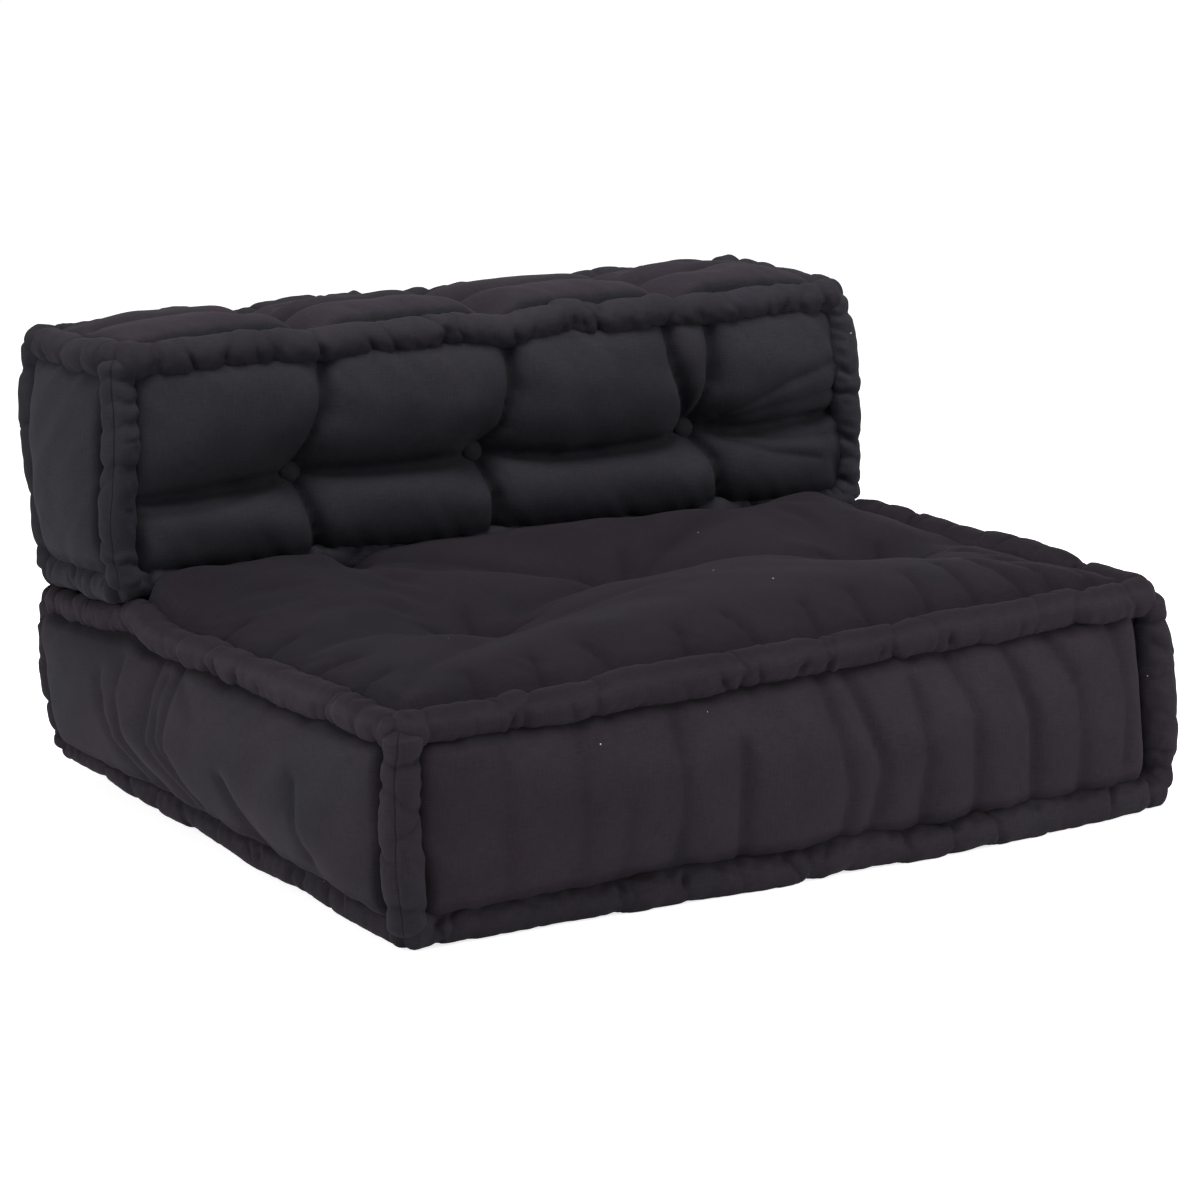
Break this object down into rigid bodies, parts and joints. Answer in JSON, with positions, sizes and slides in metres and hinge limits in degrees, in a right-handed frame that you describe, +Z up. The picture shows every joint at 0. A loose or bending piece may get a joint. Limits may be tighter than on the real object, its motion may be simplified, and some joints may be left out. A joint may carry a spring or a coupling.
{
  "type": "floor sofa module",
  "caption": "Low floor sofa module: a tufted mattress seat with gathered roll edges and a loose tufted back cushion standing on its rear edge.",
  "frame": {"origin": "on the floor under the middle of the seat, the bottom centre of the whole part's box", "axes": "+X to the right of someone who faces the sofa, front at -Y, +Z up"},
  "size_m": [1, 0.86, 0.5453],
  "materials": {
    "seat_cloth": "matte woven cotton, black with a purple-brown cast",
    "back_cloth": "matte woven cotton, charcoal black",
    "seat_button_cloth": "matte woven cotton over a button",
    "back_button_cloth": "matte woven cotton over a button",
    "filling": "layered cotton wadding",
    "twine": "waxed linen twine",
    "felt": "pressed felt"
  },
  "bodies": {
    "seat_cushion": {"seat_bottom_front_roll": "seat_cloth", "seat_bottom_left_roll": "seat_cloth", "seat_bottom_panel": "seat_cloth", "seat_bottom_rear_roll": "seat_cloth", "seat_bottom_right_roll": "seat_cloth", "seat_buttons": "seat_button_cloth", "seat_filling": "filling", "seat_front_left_roll": "seat_cloth", "seat_front_panel": "seat_cloth", "seat_front_right_roll": "seat_cloth", "seat_left_panel": "seat_cloth", "seat_rear_left_roll": "seat_cloth", "seat_rear_panel": "seat_cloth", "seat_rear_right_roll": "seat_cloth", "seat_right_panel": "seat_cloth", "seat_top_front_roll": "seat_cloth", "seat_top_left_roll": "seat_cloth", "seat_top_panel": "seat_cloth", "seat_top_rear_roll": "seat_cloth", "seat_top_right_roll": "seat_cloth", "seat_tuft_twines": "twine", "seat_tuft_washers": "felt"},
    "back_cushion": {"back_bottom_left_roll": "back_cloth", "back_bottom_panel": "back_cloth", "back_bottom_right_roll": "back_cloth", "back_filling": "filling", "back_front_bottom_roll": "back_cloth", "back_front_buttons": "back_button_cloth", "back_front_left_roll": "back_cloth", "back_front_panel": "back_cloth", "back_front_right_roll": "back_cloth", "back_front_top_roll": "back_cloth", "back_left_panel": "back_cloth", "back_rear_bottom_roll": "back_cloth", "back_rear_buttons": "back_button_cloth", "back_rear_left_roll": "back_cloth", "back_rear_panel": "back_cloth", "back_rear_right_roll": "back_cloth", "back_rear_top_roll": "back_cloth", "back_right_panel": "back_cloth", "back_top_left_roll": "back_cloth", "back_top_panel": "back_cloth", "back_top_right_roll": "back_cloth", "back_tuft_twines": "twine"}
  },
  "joints": [
    {"name": "back_lift", "type": "slide", "parent": "seat_cushion", "child": "back_cushion", "axis": [0, 0, 1], "range_m": [0, 0.35]}
  ]
}
